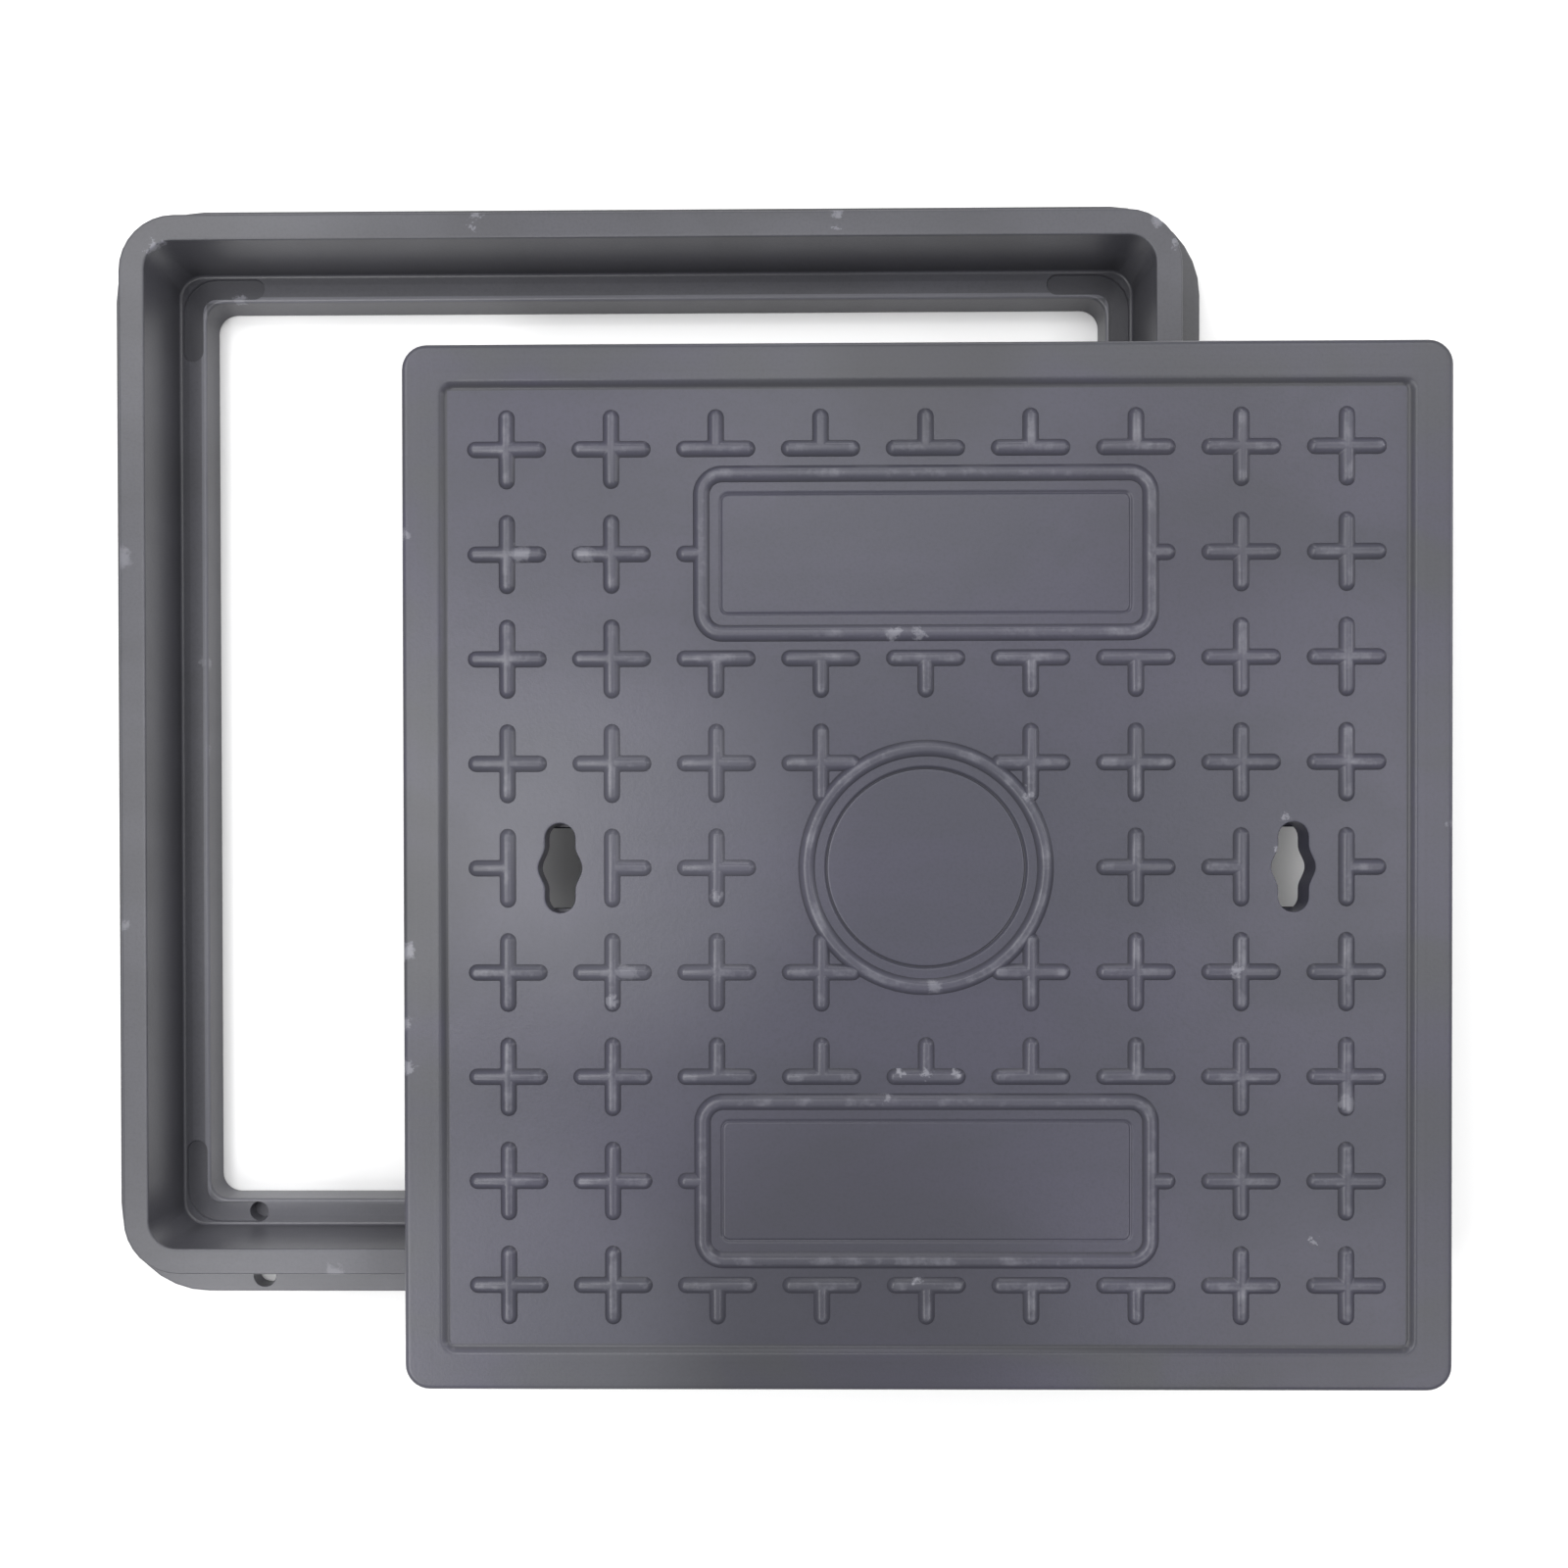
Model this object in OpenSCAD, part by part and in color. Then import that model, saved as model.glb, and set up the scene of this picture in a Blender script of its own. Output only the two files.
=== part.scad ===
// Square inspection cover for a service chamber: a moulded resin cover with an
// anti-slip pattern, and the moulded frame that it drops into. The cover has
// been lifted out and lies across two rails of its frame.
// +X is to the right and +Y to the back when seen from above, +Z is up.
// The origin is on the ground, under the middle of the whole set.

/* [Cover] */
// Length of each side of the cover at its top
cover_size = 500; // [480:1:560]
// Height of the cover from its ribs to its border
cover_height = 40; // [34:1:50]
// Thickness of the plate under the pattern
plate_t = 14; // [10:0.5:18]
// Corner radius of the cover
cover_r = 12; // [8:1:20]
// Rounding along the cover's upper edge
cover_edge_r = 2.5; // [1:0.5:4]
// How far each side of the cover leans inwards towards its foot
cover_draft = 1.5; // [0.5:0.25:3]
// Thickness of the wall round the ribs at its foot
skirt_t = 9; // [6:0.5:14]
// Width of the raised border at its top
border_w = 17.5; // [12:0.5:26]
// Width of the slope from the border down to the field
border_slope = 3.5; // [1:0.5:6]
// Height of the border and the pattern above the field
relief_h = 2.5; // [1.5:0.25:4]

/* [Ribs under the cover] */
// Distance from one rib to the next
rib_pitch = 50; // [47:1:60]
// Thickness of a rib at its lower edge
rib_foot_t = 5; // [4:0.5:7]
// Thickness of a rib where it meets the plate
rib_root_t = 7; // [5:0.5:10]

/* [Pattern] */
// Distance between the centres of two crosses
cross_pitch = 50; // [46:1:54]
// Length of a cross from tip to tip
cross_len = 38; // [28:1:42]
// Width of a raised bar where it meets the field
bar_foot_w = 7; // [5:0.25:9]
// Width of a raised bar at its top
bar_top_w = 3.6; // [2:0.1:4.8]
// Length of a blank panel over its bead
panel_w = 222; // [190:1:228]
// Depth of a blank panel over its bead
panel_d = 84; // [60:1:90]
// Outer corner radius of a panel's bead
panel_r = 14; // [9:1:20]
// Diameter of the bead round the middle disc
ring_d = 122; // [100:1:130]
// Depth of the sunken areas inside the panels' beads
inset_depth = 0.5; // [0.2:0.1:1.5]
// Depth of the sunken disc inside the ring
disc_depth = 1; // [0.5:0.1:2]
// Width of the level strip between a bead and its inset floor
inset_gap = 5; // [2:0.5:8]

/* [Lifting key slots] */
// Length of a slot
key_len = 43; // [34:1:46]
// Width of a slot
key_w = 14.5; // [10:0.5:18]
// Diameter of the round middle of a slot
key_eye_d = 21; // [19:0.5:28]

/* [Frame] */
// Gap round the cover's top when it lies in its seat
seat_gap = 5.5; // [3:0.5:8]
// How much deeper the pocket is than the cover is high
seat_extra = 1; // [0:0.5:4]
// How far each side of the pocket leans inwards towards the seat
pocket_draft = 1.5; // [0.5:0.25:3]
// Corner radius of the pocket at the seat
pocket_r = 12.5; // [8:0.5:20]
// Width of the ledge that carries the seated cover
ledge_w = 14; // [12.5:0.5:20]
// Height of the ledge above the ground
ledge_h = 19; // [14:1:28]
// Thickness of the ledge over the groove
ledge_t = 10; // [8:0.5:13]
// Corner radius of the clear opening
opening_r = 10; // [6:0.5:16]
// Width of the level rim round the pocket
rim_w = 13; // [10:0.5:16]
// Outer corner radius of the rim
rim_r = 28; // [20:1:36]
// How far the outer wall leans outwards towards its foot
wall_draft = 1.5; // [0.5:0.25:3]
// Width of the flange from the rim's edge to its own
flange_w = 24; // [18:1:40]
// Thickness of the flange
flange_t = 10; // [6:0.5:13]
// Corner radius of the flange
flange_r = 48; // [40:1:60]
// Small bevel along the upper edges of rim, flange and ledge
edge_bevel = 0.8; // [0.4:0.1:1]
// Thickness of the lip along the inner side of the groove
lip_t = 6; // [4:0.5:8]
// Width of the groove under the ledge
groove_w = 15; // [8:0.5:17]
// Distance from one web in the groove to the next
web_pitch = 60; // [50:1:70]
// Thickness of a web in the groove
web_t = 5; // [4:0.5:8]

/* [Frame details] */
// Length of a corner recess in the ledge, from the wall to its round end
recess_len = 40; // [30:1:50]
// Width of a corner recess in the ledge
recess_w = 11.5; // [8:0.5:11.5]
// Depth of a corner recess in the ledge
recess_depth = 1.5; // [0.5:0.25:3]
// Diameter of the fixing hole in the ledge
ledge_hole_d = 10.5; // [7:0.5:11]
// Depth of the fixing hole in the ledge
ledge_hole_depth = 10; // [6:0.5:12]
// Wall left round the ledge's fixing hole where it reaches the groove
boss_t = 5; // [3:0.5:6]
// Diameter of the anchor holes in the flange
anchor_hole_d = 12; // [8:0.5:13]
// Distance from the flange's edge to the middle of an anchor hole
anchor_edge = 8.5; // [8:0.5:10]

/* [Placing of the cover] */
// How far the cover lies to the right of the frame's middle
shift_right = 135; // [110:1:150]
// How far the cover lies to the front of the frame's middle
shift_front = 62; // [50:1:75]

/* [Hidden] */
$fn = 96;
over = 1;

pocket_top = cover_size + 2 * seat_gap;
pocket_foot = pocket_top - 2 * pocket_draft;
pocket_depth = cover_height + seat_extra;
frame_height = ledge_h + pocket_depth;
opening_size = pocket_foot - 2 * ledge_w;
rim_size = pocket_top + 2 * rim_w;
frame_size = rim_size + 2 * flange_w;
ledge_line = (pocket_foot - ledge_w) / 2;
recess_end = pocket_foot / 2 - recess_len;
anchor_line = frame_size / 2 - anchor_edge;

field_z = cover_height - relief_h;
field_size = cover_size - 2 * (border_w + border_slope);
field_r = 4;
rib_height = field_z - plate_t;
cavity_foot = cover_size - 2 * (cover_draft + skirt_t);
cavity_draft = 2;
cavity_r = 6;

reach = floor((field_size - cross_len) / 2 / cross_pitch);
panel_row = reach - 1;
panel_y = panel_row * cross_pitch;
panel_reach = floor(panel_w / 2 / cross_pitch);
key_x = (reach - 0.5) * cross_pitch;
inset_in = bar_foot_w + inset_gap;
inset_r = 4;

set_left = -frame_size / 2;
set_right = max(frame_size / 2, shift_right + cover_size / 2);
set_front = -max(frame_size / 2, shift_front + cover_size / 2);
set_back = frame_size / 2;
middle = [(set_left + set_right) / 2, (set_front + set_back) / 2, 0];

// Directions of a cross's arms: right 0, back 90, left 180 and front 270.
// A cross beside a panel or a key slot lacks the arm that points at it.
// There is none where a panel or the middle disc lies.
function arms(col, row) =
    norm([col, row]) * cross_pitch < ring_d / 2 ? []
    : abs(col) <= panel_reach && abs(row) == panel_row ? []
    : abs(col) <= panel_reach && (row == panel_row + 1 || row == 1 - panel_row) ? [0, 90, 180]
    : abs(col) <= panel_reach && (row == panel_row - 1 || row == -panel_row - 1) ? [0, 180, 270]
    : row == 0 && (col == -reach || col == reach - 1) ? [90, 180, 270]
    : row == 0 && (col == reach || col == 1 - reach) ? [0, 90, 270]
    : [0, 90, 180, 270];

// Rectangle with round corners
module round_rect(w, d, r) {
    square([w, d - 2 * r], center = true);
    square([w - 2 * r, d], center = true);
    for (x = [-1, 1], y = [-1, 1])
        translate([x * (w / 2 - r), y * (d / 2 - r)]) circle(r);
}

// Upright block on a square with round corners
module block(size, r, height) {
    linear_extrude(height) round_rect(size, size, r);
}

// Carries a section round a rectangle with round corners.
// In the section x = 0 is the line of the corner centres and x grows outwards.
module carry_round(w, d, r) {
    for (turn = [0, 180]) {
        rotate(turn) translate([w / 2 - r, 0, 0]) rotate([90, 0, 0])
            linear_extrude(d - 2 * r, center = true) children();
        rotate(turn + 90) translate([d / 2 - r, 0, 0]) rotate([90, 0, 0])
            linear_extrude(w - 2 * r, center = true) children();
    }
    for (turn = [0, 180]) rotate(turn) {
        translate([w / 2 - r, d / 2 - r, 0]) rotate_extrude(angle = 90) children();
        translate([r - w / 2, d / 2 - r, 0]) rotate(90) rotate_extrude(angle = 90) children();
    }
}

// Square block with round corners whose sides lean from one size to another
module leaning_block(size_low, size_high, r_low, height) {
    core = size_low / 2 - r_low;
    carry_round(size_low, size_low, r_low)
        polygon([[0, 0], [r_low, 0], [size_high / 2 - core, height], [0, height]]);
    translate([-core, -core, 0]) cube([2 * core, 2 * core, height]);
}

// Outer body of the cover: leaning sides and a rounded upper edge
module cover_body() {
    core = cover_size / 2 - cover_r;
    arc_x = cover_r - cover_edge_r;
    arc_z = cover_height - cover_edge_r;
    carry_round(cover_size, cover_size, cover_r) {
        polygon([
            [0, 0],
            [cover_r - cover_draft, 0],
            [cover_r, arc_z],
            [arc_x, arc_z],
            [arc_x, cover_height],
            [0, cover_height]
        ]);
        translate([arc_x, arc_z]) intersection() {
            circle(cover_edge_r);
            square(cover_edge_r);
        }
    }
    translate([-core, -core, 0]) cube([2 * core, 2 * core, cover_height]);
}

// Section of a raised bar that stands on the field
module bar_section() {
    polygon([
        [-bar_foot_w / 2, -over],
        [-bar_foot_w / 2, 0],
        [-bar_top_w / 2, relief_h],
        [bar_top_w / 2, relief_h],
        [bar_foot_w / 2, 0],
        [bar_foot_w / 2, -over]
    ]);
}

// One raised arm with a round tip
module arm(angle, start = 0, tip = cross_len / 2) {
    run = tip - bar_foot_w / 2;
    rotate(angle) {
        translate([start, 0, 0]) rotate([90, 0, 90]) linear_extrude(run - start) bar_section();
        translate([run, 0, 0]) cylinder(h = relief_h, d1 = bar_foot_w, d2 = bar_top_w);
    }
}

module crosses() {
    for (col = [-reach : reach], row = [-reach : reach])
        translate([col * cross_pitch, row * cross_pitch, 0])
            for (angle = arms(col, row)) arm(angle);
}

// Bead round a blank panel, with the tip of a hidden cross at each end
module panel_bead() {
    carry_round(panel_w, panel_d, panel_r)
        translate([panel_r - bar_foot_w / 2, 0]) bar_section();
    for (angle = [0, 180])
        arm(angle, (panel_w - bar_foot_w) / 2, panel_reach * cross_pitch + cross_len / 2);
}

module ring_bead() {
    rotate_extrude() translate([(ring_d - bar_foot_w) / 2, 0]) bar_section();
}

// Slot for a lifting key: a long hole with a round middle
module key_slot() {
    lobe_y = (key_len - key_w) / 2;
    linear_extrude(plate_t + relief_h + 2 * over) {
        square([key_w, 2 * lobe_y], center = true);
        for (y = [-lobe_y, lobe_y]) translate([0, y]) circle(d = key_w);
        circle(d = key_eye_d);
    }
}

// One rib across the whole cavity, thicker at its root than at its foot
module rib() {
    rotate([90, 0, 0]) linear_extrude(cavity_foot + 2 * over, center = true)
        polygon([
            [-rib_foot_t / 2, 0],
            [rib_foot_t / 2, 0],
            [rib_root_t / 2, rib_height + over],
            [-rib_root_t / 2, rib_height + over]
        ]);
}

// Grid of ribs. Each key slot opens into the middle of a cell, where the
// key's bar can turn.
module ribs() {
    inner = key_x - rib_pitch / 2;
    cells = round(2 * inner / rib_pitch);
    rows = floor(cavity_foot / 2 / rib_pitch - 1);
    for (i = [0 : cells]) translate([inner * (2 * i / cells - 1), 0, 0]) rib();
    for (side = [-1, 1]) translate([side * (key_x + rib_pitch / 2), 0, 0]) rib();
    for (side = [-1, 1], i = [0 : rows])
        translate([0, side * (i + 0.5) * rib_pitch, 0]) rotate(90) rib();
}

module cover() {
    color("#6b6c74") difference() {
        union() {
            difference() {
                cover_body();
                translate([0, 0, -over])
                    leaning_block(cavity_foot, cavity_foot - 2 * cavity_draft, cavity_r, rib_height + over);
                translate([0, 0, field_z]) leaning_block(
                    field_size, field_size + 2 * border_slope * (1 + over / relief_h), field_r, relief_h + over);
            }
            ribs();
            translate([0, 0, field_z]) {
                crosses();
                ring_bead();
                for (side = [-1, 1]) translate([0, side * panel_y, 0]) panel_bead();
            }
        }
        for (side = [-1, 1]) {
            translate([side * key_x, 0, rib_height - over]) key_slot();
            translate([0, side * panel_y, field_z - inset_depth]) linear_extrude(relief_h)
                round_rect(panel_w - 2 * inset_in, panel_d - 2 * inset_in, inset_r);
        }
        translate([0, 0, field_z - disc_depth])
            cylinder(h = relief_h, d = ring_d - 2 * inset_in);
    }
}

// Upright block with a bevel along its upper edge
module bevelled_block(size_low, size_high, r_low, height) {
    leaning_block(size_low, size_high, r_low, height - edge_bevel);
    translate([0, 0, height - edge_bevel])
        leaning_block(size_high, size_high - 2 * edge_bevel, r_low + (size_high - size_low) / 2, edge_bevel);
}

// Groove under the ledge, open to the ground and crossed by webs
module ledge_groove() {
    inner = opening_size + 2 * lip_t;
    webs = floor((inner / 2 - groove_w) / web_pitch - 0.5);
    difference() {
        block(inner + 2 * groove_w, opening_r + lip_t + groove_w, ledge_h - ledge_t + over);
        translate([0, 0, -over]) block(inner, opening_r + lip_t, ledge_h);
        for (turn = [0, 90], side = [-1, 1], i = [0 : webs])
            rotate(turn) translate([side * (i + 0.5) * web_pitch - web_t / 2, -inner, -over])
                cube([web_t, 2 * inner, ledge_h]);
        translate([-recess_end, -ledge_line, -over]) cylinder(h = ledge_h, d = ledge_hole_d + 2 * boss_t);
    }
}

// Shallow recess round one corner of the ledge, with round ends
module corner_recess() {
    bend = ledge_line - pocket_r;
    linear_extrude(recess_depth + over) {
        translate([ledge_line - recess_w / 2, recess_end]) square([recess_w, bend - recess_end]);
        translate([recess_end, ledge_line - recess_w / 2]) square([bend - recess_end, recess_w]);
        translate([ledge_line, recess_end]) circle(d = recess_w);
        translate([recess_end, ledge_line]) circle(d = recess_w);
    }
    translate([bend, bend, 0]) rotate_extrude(angle = 90)
        translate([pocket_r - recess_w / 2, 0]) square([recess_w, recess_depth + over]);
}

module frame() {
    color("#77777d") difference() {
        union() {
            bevelled_block(frame_size, frame_size, flange_r, flange_t);
            bevelled_block(rim_size + 2 * wall_draft, rim_size, rim_r + wall_draft, frame_height);
        }
        // Pocket for the cover, with the bevel of the rim's inner edge
        translate([0, 0, ledge_h]) leaning_block(pocket_foot, pocket_top, pocket_r, pocket_depth);
        translate([0, 0, frame_height - edge_bevel])
            leaning_block(pocket_top, pocket_top + 4 * edge_bevel, pocket_r + pocket_draft, 2 * edge_bevel);
        // Clear opening, with the bevel of the ledge's inner edge
        translate([0, 0, -over]) block(opening_size, opening_r, ledge_h + 2 * over);
        translate([0, 0, ledge_h - edge_bevel])
            leaning_block(opening_size, opening_size + 4 * edge_bevel, opening_r, 2 * edge_bevel);
        translate([0, 0, -over]) ledge_groove();
        for (turn = [0 : 90 : 270])
            rotate(turn) translate([0, 0, ledge_h - recess_depth]) corner_recess();
        translate([-recess_end, -ledge_line, ledge_h - ledge_hole_depth])
            cylinder(h = ledge_hole_depth + over, d = ledge_hole_d);
        // Anchor holes: one near the front left corner, one in the middle of the left side
        for (place = [[-recess_end, -anchor_line], [-anchor_line, 0]])
            translate([place.x, place.y, -over]) cylinder(h = flange_t + 2 * over, d = anchor_hole_d);
    }
}

translate(-middle) frame();
translate([shift_right, -shift_front, frame_height] - middle) cover();
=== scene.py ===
"""Inspection cover of moulded resin, lifted out and lying across its frame."""

import math
from types import SimpleNamespace

import bmesh
import bpy
import numpy as np
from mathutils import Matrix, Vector
from mathutils.geometry import tessellate_polygon


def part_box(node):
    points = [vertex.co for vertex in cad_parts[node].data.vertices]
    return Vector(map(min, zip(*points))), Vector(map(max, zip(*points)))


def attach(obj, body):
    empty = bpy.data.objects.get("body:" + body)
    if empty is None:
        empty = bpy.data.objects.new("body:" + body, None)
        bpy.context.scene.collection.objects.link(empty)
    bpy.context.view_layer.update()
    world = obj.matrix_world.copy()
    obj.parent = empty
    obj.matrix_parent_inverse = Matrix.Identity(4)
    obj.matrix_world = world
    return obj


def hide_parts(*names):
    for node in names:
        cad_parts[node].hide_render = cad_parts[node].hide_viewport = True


bl_info = {
    "name": "Inspection cover",
    "version": (1, 0, 0),
    "blender": (4, 5, 0),
    "location": "3D View > Sidebar > Inspection cover",
    "description": "Builds a moulded inspection cover, its frame and the stage",
    "category": "Object",
}

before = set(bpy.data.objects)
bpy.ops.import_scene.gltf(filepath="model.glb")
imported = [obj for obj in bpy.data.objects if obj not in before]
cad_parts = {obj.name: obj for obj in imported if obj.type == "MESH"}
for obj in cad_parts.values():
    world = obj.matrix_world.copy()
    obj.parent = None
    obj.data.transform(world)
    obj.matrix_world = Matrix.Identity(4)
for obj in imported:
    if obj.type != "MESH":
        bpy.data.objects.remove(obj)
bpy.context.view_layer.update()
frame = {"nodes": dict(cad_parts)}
MM = 0.001
BODY = "root"

# Small distances that more than one piece shares, in mm
BELOW = 0.03  # how far the crosses stay under the beads that they run into, so that no faces coincide
KEEP = 0.8  # from a rounded edge to the ring of points that keeps the flat beside it flat
LAND = 0.6  # width of the level strip beside a rounded foot
NEAR = 0.1  # from a rounded edge of the ledge to the flat ledge
MERGED = 0.002  # points nearer to each other than this become one


# Sizes and colours that a user would change

def length(name, description, millimetres, least=0):
    """A length that is kept in metres and given here in millimetres."""
    return bpy.props.FloatProperty(
        name=name, description=description, default=millimetres * MM, min=least * MM,
        unit="LENGTH", precision=4)


def hue(name, description, code):
    """A colour from its sRGB hex code, kept linear."""
    return bpy.props.FloatVectorProperty(
        name=name, description=description, default=linear(code)[:3],
        size=3, min=0.0, max=1.0, subtype="COLOR")


def linear(code):
    """Linear colour of an sRGB hex code: (c + 0.055) / 1.055 to the power 2.4, or c / 12.92 when dark."""
    parts = [int(code[i:i + 2], 16) / 255 for i in (1, 3, 5)]
    return [c / 12.92 if c <= 0.04045 else ((c + 0.055) / 1.055) ** 2.4 for c in parts] + [1.0]


class CoverSizes(bpy.types.PropertyGroup):
    """Sizes of the cover"""
    size: length("Size", "Side of the square cover", 500)
    height: length("Height", "From the foot to the top of the border", 40)
    relief: length("Relief", "Height of the border and the pattern above the field", 2.5)
    plate: length("Plate", "Thickness of the plate at the field", 14)
    corner: length("Corner", "Radius of the upright corners", 12)
    edge: length("Edge", "Radius of the upper edge", 2.5)
    draft: length("Draft", "How far the sides lean in at their foot", 1.5)
    skirt: length("Skirt", "Thickness of the outer wall at its foot", 9)
    border: length("Border", "Width of the flat border", 17.8)
    slope: length("Slope", "Width of the step from the border to the field", 2.8)
    pitch: length("Pitch", "From one cross to the next, and from one rib to the next", 50)
    cross: length("Cross", "Length of a cross", 38)
    bar_foot: length("Bar foot", "Width of a raised bar at its foot", 8)
    bar_top: length("Bar top", "Width of a raised bar's flat top", 2)
    panel_x: length("Panel width", "Width of a blank panel over its bead", 222)
    panel_y: length("Panel depth", "Depth of a blank panel over its bead", 84)
    panel_r: length("Panel corner", "Radius of a panel's corners over its bead", 14)
    ring: length("Ring", "Diameter of the middle ring over its bead", 122)
    inset: length("Inset", "How far the panels are sunk", 0.2)
    disc: length("Disc", "How far the disc in the ring is sunk", 0.8)
    inset_gap: length("Inset gap", "From a bead to the sunken area inside it", 5)
    inset_line: length("Inset line", "How far the line round a sunken area is deeper than the area", 0.6)
    key_length: length("Key slot length", "Length of a slot for the lifting key", 43)
    key_width: length("Key slot width", "Width of a slot for the lifting key", 14.5)
    key_eye: length("Key slot eye", "Diameter of a key slot's round middle", 21)
    rib_foot: length("Rib foot", "Thickness of a rib at its foot", 5)
    rib_root: length("Rib root", "Thickness of a rib at the plate", 7)


class FrameSizes(bpy.types.PropertyGroup):
    """Sizes of the frame"""
    height: length("Height", "From the ground to the rim", 60)
    opening: length("Opening", "Side of the clear opening", 480)
    opening_r: length("Opening corner", "Radius of the opening's corners", 10)
    ledge: length("Ledge height", "From the ground to the ledge", 19)
    seat: length("Seat", "Side of the pocket at the ledge", 508)
    pocket: length("Pocket", "Side of the pocket at the rim", 511)
    pocket_r: length("Pocket corner", "Radius of the pocket's corners at the ledge", 12.5)
    rim: length("Rim", "Side of the frame over its rim", 537)
    rim_r: length("Rim corner", "Radius of the rim's outer corners", 28)
    wall: length("Wall", "Side of the frame at the wall's foot", 540)
    flange: length("Flange", "Side of the frame over its flange", 585)
    flange_t: length("Flange thickness", "Thickness of the flange", 10)
    flange_r: length("Flange corner", "Radius of the flange's corners", 48)
    edge: length("Edge", "Radius of the rounded edges", 0.8)
    ledge_edge: length("Ledge edge", "Radius at the ledge's inner edge and at the wall's foot", 1.3)
    recess: length("Recess", "Depth of the corner recesses in the ledge", 1.5)
    recess_w: length("Recess width", "Width of the corner recesses in the ledge", 11)
    recess_end: length("Recess end", "From the middle to the end of a corner recess", 214)
    ledge_hole: length("Ledge hole", "Diameter of the fixing hole in the ledge", 10.5)
    hole_depth: length("Ledge hole depth", "Depth of the fixing hole in the ledge", 10)
    anchor_hole: length("Anchor hole", "Diameter of the anchor holes in the flange", 12)
    anchor_line: length("Anchor line", "From the middle to the line of the anchor holes", 284)
    groove_in: length("Groove inside", "From the middle to the inner side of the groove underneath", 246)
    groove_out: length("Groove outside", "From the middle to the outer side of the groove underneath", 261)
    groove_h: length("Groove height", "Height of the groove underneath", 9)
    web_pitch: length("Web pitch", "From one web in the groove to the next", 60)
    web: length("Web", "Thickness of a web in the groove", 5)


class Finishes(bpy.types.PropertyGroup):
    """Colours of the mouldings"""
    cover: hue("Cover", "Resin of the cover", "#43424e")
    cover_dark: hue("Cover, darker flow", "Darker flow in the cover's resin", "#3f3f49")
    cover_edge: hue("Cover border", "Plainer grey of the border", "#444546")
    frame: hue("Frame", "Resin of the frame", "#4a4a50")
    frame_dark: hue("Frame, darker flow", "Darker flow in the frame's resin", "#45454a")
    frame_edge: hue("Frame flange", "Plainer grey of the flange", "#4a4a4b")
    # Colour of polished wear, and also of painted highlights: broad paler patches and a bright band along
    # the ledge's inner edge
    polish_and_highlight: hue("Polished", "Where feet and stacking have polished the resin", "#797981")
    # Colour of fine dirt in the grain, and also of painted shade: broad darker patches on the cover and
    # darkening in low places and at the feet of walls and bars
    dirt_and_shade: hue("Dirt", "Fine dirt that stays in the grain and in low places", "#303034")


class StageSizes(bpy.types.PropertyGroup):
    """Camera and floor"""
    lens_height: length("Camera height", "Height of the camera above the floor", 766.7)
    lens_x: length("Camera x", "Place of the camera from left to right", 10.6, -1000)
    lens_y: length("Camera y", "Place of the camera from front to back", -45.7, -1000)
    focal: bpy.props.FloatProperty(
        name="Focal length", description="Focal length in mm on a 36 mm sensor", default=32.13, min=1.0)
    shift: bpy.props.FloatVectorProperty(
        name="Shift", description="Shift of the lens, as a part of the image's side",
        default=(0.0227, 0.0514), size=2, precision=4)
    tilt: bpy.props.FloatVectorProperty(
        name="Tilt", description="Turn of the camera from looking straight down",
        default=(-0.0075, 0.0099, -0.0020), size=3, subtype="EULER")
    floor: bpy.props.FloatVectorProperty(
        name="Floor", description="Colour of the floor", default=(0.96, 0.96, 0.96),
        size=3, min=0.0, max=1.0, subtype="COLOR")


# Curves and outlines, in millimetres

def smooth(t):
    """S-curve: 3 t^2 - 2 t^3, level at both ends."""
    return t * t * (3 - 2 * t)


def step(start, end, count=7):
    """Rows from one level to another: the first value runs evenly and the height follows the S-curve."""
    t = np.linspace(0, 1, count)
    return np.stack([start[0] + (end[0] - start[0]) * t, start[1] + (end[1] - start[1]) * smooth(t)], 1)


def bend(start, end, level_first=True, count=5):
    """Quarter of an ellipse: one value follows sin(a) and the other 1 - cos(a), a from 0 to 90 degrees."""
    a = np.linspace(0, math.pi / 2, count)
    fast, slow = np.sin(a), 1 - np.cos(a)
    across, along = (fast, slow) if level_first else (slow, fast)
    return np.stack([start[0] + (end[0] - start[0]) * across, start[1] + (end[1] - start[1]) * along], 1)


def round_rect(half_x, half_y, r, centre=(0, 0), steps=8):
    """Rectangle with round corners, anticlockwise: quarter circles of radius r about the four points
    (half_x - r, half_y - r) from the centre."""
    turn = np.arange(4)[:, None] * math.pi / 2 + np.linspace(0, math.pi / 2, steps + 1)[None]
    side_x = np.array([1, -1, -1, 1])[:, None]
    side_y = np.array([1, 1, -1, -1])[:, None]
    x = centre[0] + side_x * (half_x - r) + r * np.cos(turn)
    y = centre[1] + side_y * (half_y - r) + r * np.sin(turn)
    return np.stack([x.ravel(), y.ravel()], 1)


def circle(r, centre=(0, 0), count=32):
    """Circle of radius r about its centre, anticlockwise."""
    a = np.arange(count) * 2 * math.pi / count
    return np.stack([centre[0] + r * np.cos(a), centre[1] + r * np.sin(a)], 1)


def at_height(outline, z):
    """Lifts a flat outline to the height z."""
    return np.column_stack([outline, np.full(len(outline), z)])


def square_rings(rows, steps=8):
    """One ring for each row (half side, corner radius, height)."""
    return np.stack([at_height(round_rect(h, h, r, steps=steps), z) for h, r, z in rows])


def offset_rings(outline, rows):
    """One ring for each row (offset, height) of an outline that is a function of its offset."""
    return np.stack([at_height(outline(o), z) for o, z in rows])


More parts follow.
